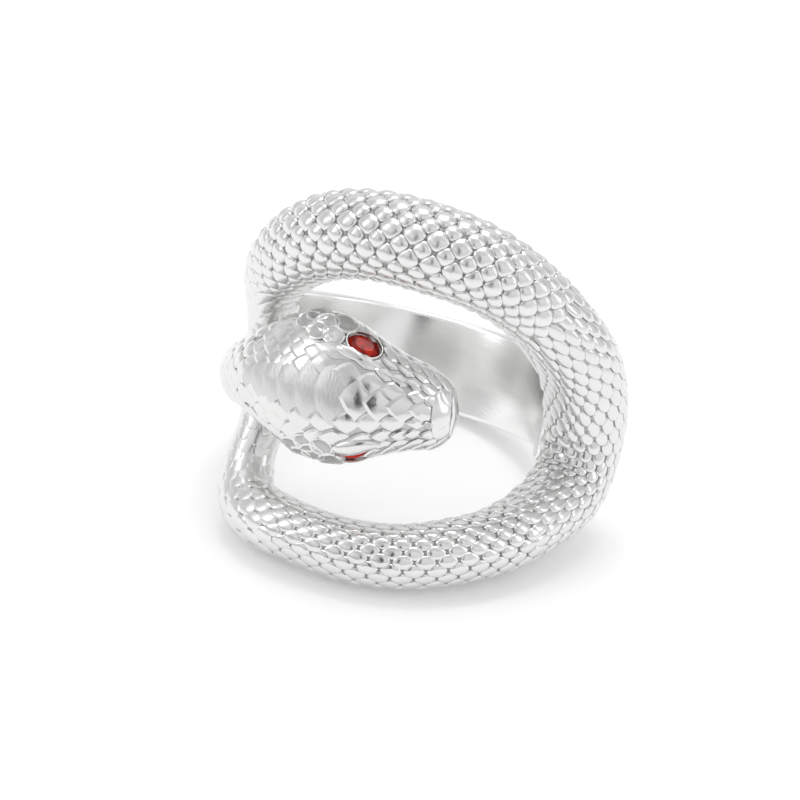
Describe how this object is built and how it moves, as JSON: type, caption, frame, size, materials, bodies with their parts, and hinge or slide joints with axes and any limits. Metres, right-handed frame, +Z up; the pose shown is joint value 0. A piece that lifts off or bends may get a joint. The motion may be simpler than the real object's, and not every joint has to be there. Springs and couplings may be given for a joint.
{
  "type": "snake wrap ring",
  "caption": "Finger ring cast as a scaled snake that loops across the front, with its head lying over the loop, cut red eye stones and a plain open-fronted band.",
  "frame": {"origin": "the middle of the finger hole, on its axis and level with the middle of the band's width", "axes": "the ring lies on its side as it settles on a table: +Z up from the table, -Y the front that the snake's head faces, +X to the snout's side. The finger axis leans 25 degrees from +Z."},
  "size_m": [0.0255, 0.0264, 0.0227],
  "materials": {
    "silver": "polished band, bright cast scales",
    "red_stone": "faceted and polished"
  },
  "bodies": {
    "root": {"snake_ring": "silver", "eye_upper": "red_stone", "eye_lower": "red_stone"}
  },
  "joints": []
}
